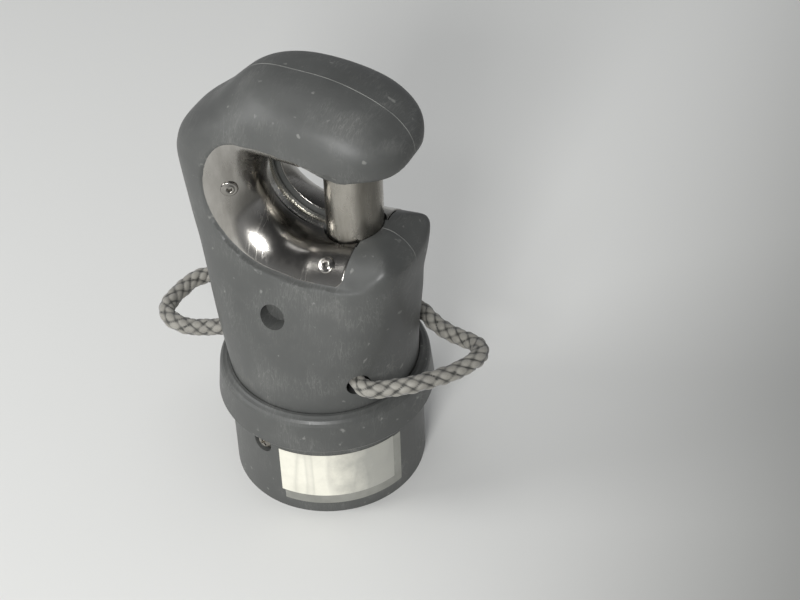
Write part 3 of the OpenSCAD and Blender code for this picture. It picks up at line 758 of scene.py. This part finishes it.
def addLiner(side, node):
    liner = linerSolid("liner" + ("Near" if side < 0 else "Far"), side, linerShape["thick"],
                       proud=linerShape["proud"])
    softEdges(liner, 0.3, 3, 50)
    cut(liner, movedTo(barrel(9.8, 60, 118, 96), Matrix.Translation((14, 0, 0))))
    finishPiece(liner, "housing", polished, node, sharp=45)


addLiner(-1, "jaw_liner_near")
addLiner(1, "jaw_liner_far")
print("liners made")


# ---- rivets through the liners
rivets = {
    "head": [(0, -1.5), (0.75, -1.5), (0.75, 0.5), (0.95, 0.78), (1.35, 0.82), (1.6, 0.6), (1.9, 0.55),
             (2.3, 0.6), (2.6, 0.4), (2.75, 0.1), (2.7, -0.4), (1.6, -0.4), (1.6, -3.5), (0, -3.5)],
    "back": (179.4, 0.647, 0.0),
    "front": (280.0, 0.64, 5.4),
}


def addRivet(name, side, spot, node):
    at = onFlare(*spot[:2], side, spot[2])
    step = 0.2
    if spot[2]:
        onward = onFlare(spot[0], spot[1], side, spot[2] + step) - at
    else:
        onward = onFlare(spot[0] + step, spot[1], side) - at
    across = onFlare(spot[0], spot[1] + 0.01, side, spot[2]) - at
    out = onward.cross(across).normalized()
    if out.dot(Vector((3, side * 30, 117)) - at) < 0:
        out = -out
    bm = turnedShape(rivets["head"], 40)
    facing = out.to_track_quat("Z", "Y").to_matrix().to_4x4()
    movedTo(bm, Matrix.Translation(at + linerShape["proud"] * out) @ facing)
    piece = asObject(name, bm)
    finishPiece(piece, "housing", polished, node, sharp=50)


addRivet("rivetNearBack", -1, rivets["back"], "rivet_near_back")
addRivet("rivetNearFront", -1, rivets["front"], "rivet_near_front")
addRivet("rivetFarBack", 1, rivets["back"], "rivet_far_back")
addRivet("rivetFarFront", 1, rivets["front"], "rivet_far_front")


# ---- the plunger and its bush
plungerShape = {
    "radius": 9.0, "bottom": 66.0, "top": 133.7, "round": 1.5, "bore": 7.0, "boreTop": 71.5,
}


def addPlunger(s):
    r, top, edge = s["radius"], s["top"], s["round"]
    profile = [(0, s["boreTop"]), (s["bore"], s["boreTop"]), (s["bore"], s["bottom"]),
               (r - 0.3, s["bottom"]), (r, s["bottom"] + 0.3), (r, top - edge)]
    profile += [(r - edge + polar(edge, a)[0], top - edge + polar(edge, a)[1]) for a in range(10, 91, 10)]
    bm = turnedShape(profile + [(0, top)], 96)
    piece = asObject("plungerPin", movedTo(bm, Matrix.Translation((14, 0, 0))))
    finishPiece(piece, "plunger", turned, "plunger")
    ring = movedTo(tube(9.05, 10.15, 86, 99), Matrix.Translation((14, 0, 0)))
    bush = asObject("plungerBush", ring)
    softEdges(bush, 0.2)
    finishPiece(bush, "housing", bearing, "plunger_bush")


addPlunger(plungerShape)
print("plunger made")


# ---- the trigger: a band round the back of the throat, with a groove, on a leg with its pivot
triggerShape = {"inner": 18.3, "deep": 6.0, "middle": 1.2, "half": 2.5, "groove": (0.5, 1.1)}


def addTrigger(s):
    inner, outer = s["inner"], s["inner"] + s["deep"]
    low, high = s["middle"] - s["half"], s["middle"] + s["half"]
    half, depth = s["groove"]
    section = [(inner + 0.5, low), (inner + 0.1, low + 0.5), (inner, s["middle"] - half - 0.3),
               (inner + depth, s["middle"] - half), (inner + depth, s["middle"] + half),
               (inner, s["middle"] + half + 0.3), (inner + 0.1, high - 0.5), (inner + 0.5, high),
               (outer, high), (outer, low)]
    bm = bmesh.new()
    x0, z0 = polar(1, 128)
    verts = [bm.verts.new((3 + r * x0, y, 117 + r * z0)) for r, y in section]
    face = bm.faces.new(verts)
    bmesh.ops.spin(bm, geom=[face], cent=(3, 0, 117), axis=(0, -1, 0),
                   angle=math.radians(146), steps=80, use_merge=False)
    bmesh.ops.recalc_face_normals(bm, faces=bm.faces)
    boss = movedTo(tube(2.05, 3.6, -s["half"], s["half"], 48), Matrix.Rotation(math.pi / 2, 4, "X"))
    movedTo(boss, Matrix.Translation((-3.5, s["middle"], 78)))
    leg = block((-7.1, low + 0.01, 81), (0.1, high - 0.01, 95))
    tail = block((-16.5, low + 0.02, 76), (-5.5, high - 0.02, 80))
    piece = asObject("triggerBand", joined(bm, boss, leg, tail))
    finishPiece(piece, "trigger", bright, "trigger")


addTrigger(triggerShape)
print("trigger made")


def makeLabel():
    # blank paper, yellowed, creased and greyer towards its torn right end
    material, tree, shader = newFinish("blankLabel")
    place = ownPlace(tree)
    cloud = grain(tree, place, 110, 5, 0.65)
    crease = scratches(tree, 130, 7, (0.3, 0.2, 0.9), 0.05)
    spot = addNode(tree, "ShaderNodeSeparateXYZ", {
        "Vector": addNode(tree, "ShaderNodeTexCoord").outputs["Object"]})
    end = between(tree, maths(tree, "ADD", spot.outputs["X"], maths(tree, "MULTIPLY", cloud, 0.012)),
                  0.020, 0.032)
    base = blendColours(tree, between(tree, cloud, 0.4, 0.7, 0, 0.6),
                        (0.78, 0.76, 0.66, 1), (0.60, 0.585, 0.50, 1))
    base = blendColours(tree, maths(tree, "MULTIPLY", crease, 0.35), base, (0.42, 0.41, 0.37, 1))
    base = blendColours(tree, maths(tree, "MULTIPLY", end, 0.85), base, (0.30, 0.30, 0.275, 1))
    tree.links.new(base, shader.inputs["Base Color"])
    shader.inputs["Roughness"].default_value = 0.5
    raised(tree, shader, maths(tree, "ADD", cloud, crease), 0.00012, 0.7)
    return material


# ---- what stays as the CAD made it, with its own finish
kept = {
    "tube_sleeve": greyPlain, "pivot_plug": greyPlain,
    "cord_pin": turned, "trigger_pin": turned, "spring_seat": bearing,
    "plunger_spring": springWire, "trigger_spring": springWire, "retaining_ring": springWire,
    "sleeve_screw_near": turned, "sleeve_screw_far": turned,
    "old_label": makePlain("oldLabel", (0.30, 0.30, 0.27, 1), 0.7),
    "size_label": makeLabel(),
}
for name, finish in kept.items():
    nodes[name].data.materials.clear()
    nodes[name].data.materials.append(finish)
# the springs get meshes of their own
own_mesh(nodes["plunger_spring"])
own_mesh(nodes["trigger_spring"])


# ---- floor, light and world
# the second floor colour is a painted shadow, blended in towards +X
stageLook = {"floor": (0.66, 0.66, 0.64, 1), "paintedShadowFloor": (0.22, 0.22, 0.21, 1), "world": 0.42}


def addStage(s):
    bm = bmesh.new()
    bmesh.ops.create_grid(bm, x_segments=1, y_segments=1, size=3)
    floor = asObject("floor", bm)
    material, tree, shader = newFinish("paleFloor")
    spot = addNode(tree, "ShaderNodeSeparateXYZ", {
        "Vector": addNode(tree, "ShaderNodeTexCoord").outputs["Object"]})
    aside = maths(tree, "MULTIPLY", spot.outputs["X"], 1.096)
    far = maths(tree, "MULTIPLY", spot.outputs["Y"], 0.046)
    # painted shadow: the floor's colour darkens towards +X, and slightly towards +Y
    paintedShadow = between(tree, maths(tree, "ADD", aside, far), 0.03, 0.24, 0, 1, True)
    tree.links.new(blendColours(tree, paintedShadow, s["floor"], s["paintedShadowFloor"]), shader.inputs["Base Color"])
    shader.inputs["Roughness"].default_value = 0.9
    floor.data.materials.append(material)


def addLamp(name, place, aim, size, power, colour=(1, 1, 1)):
    data = bpy.data.lights.new(name, "AREA")
    data.shape = "RECTANGLE"
    data.size, data.size_y = size
    data.energy = power
    data.color = colour
    lamp = bpy.data.objects.new(name, data)
    bpy.context.scene.collection.objects.link(lamp)
    lamp.location = place
    lamp.rotation_euler = (Vector(aim) - Vector(place)).to_track_quat("-Z", "Y").to_euler()


def addWorld(s):
    world = bpy.data.worlds.new("paleRoom")
    world.use_nodes = True
    tree = world.node_tree
    ground = tree.nodes["Background"]
    ground.inputs["Color"].default_value = (0.9, 0.92, 0.95, 1)
    # mirrors see a dimmer room overhead than the one that lights the floor
    seen = addNode(tree, "ShaderNodeLightPath").outputs["Is Glossy Ray"]
    height = addNode(tree, "ShaderNodeSeparateXYZ", {
        "Vector": addNode(tree, "ShaderNodeTexCoord").outputs["Generated"]}).outputs["Z"]
    room = between(tree, height, -0.1, 0.6, 0.42, 0.06)
    dimmer = maths(tree, "MULTIPLY", seen, maths(tree, "SUBTRACT", s["world"], room))
    tree.links.new(maths(tree, "SUBTRACT", s["world"], dimmer), ground.inputs["Strength"])
    bpy.context.scene.world = world


addStage(stageLook)
addLamp("windowLeft", (-0.62, -0.42, 0.5), (0, 0, 0.08), (0.3, 0.3), 2.8)
addLamp("windowBehind", (0.22, -0.90, 0.56), (0, 0, 0.1), (0.26, 0.30), 8.5)
addLamp("above", (-0.25, 0.1, 1.2), (0, 0, 0.08), (0.8, 0.8), 2.2)
addWorld(stageLook)
bpy.context.scene.view_settings.view_transform = "Standard"
print("stage lit")
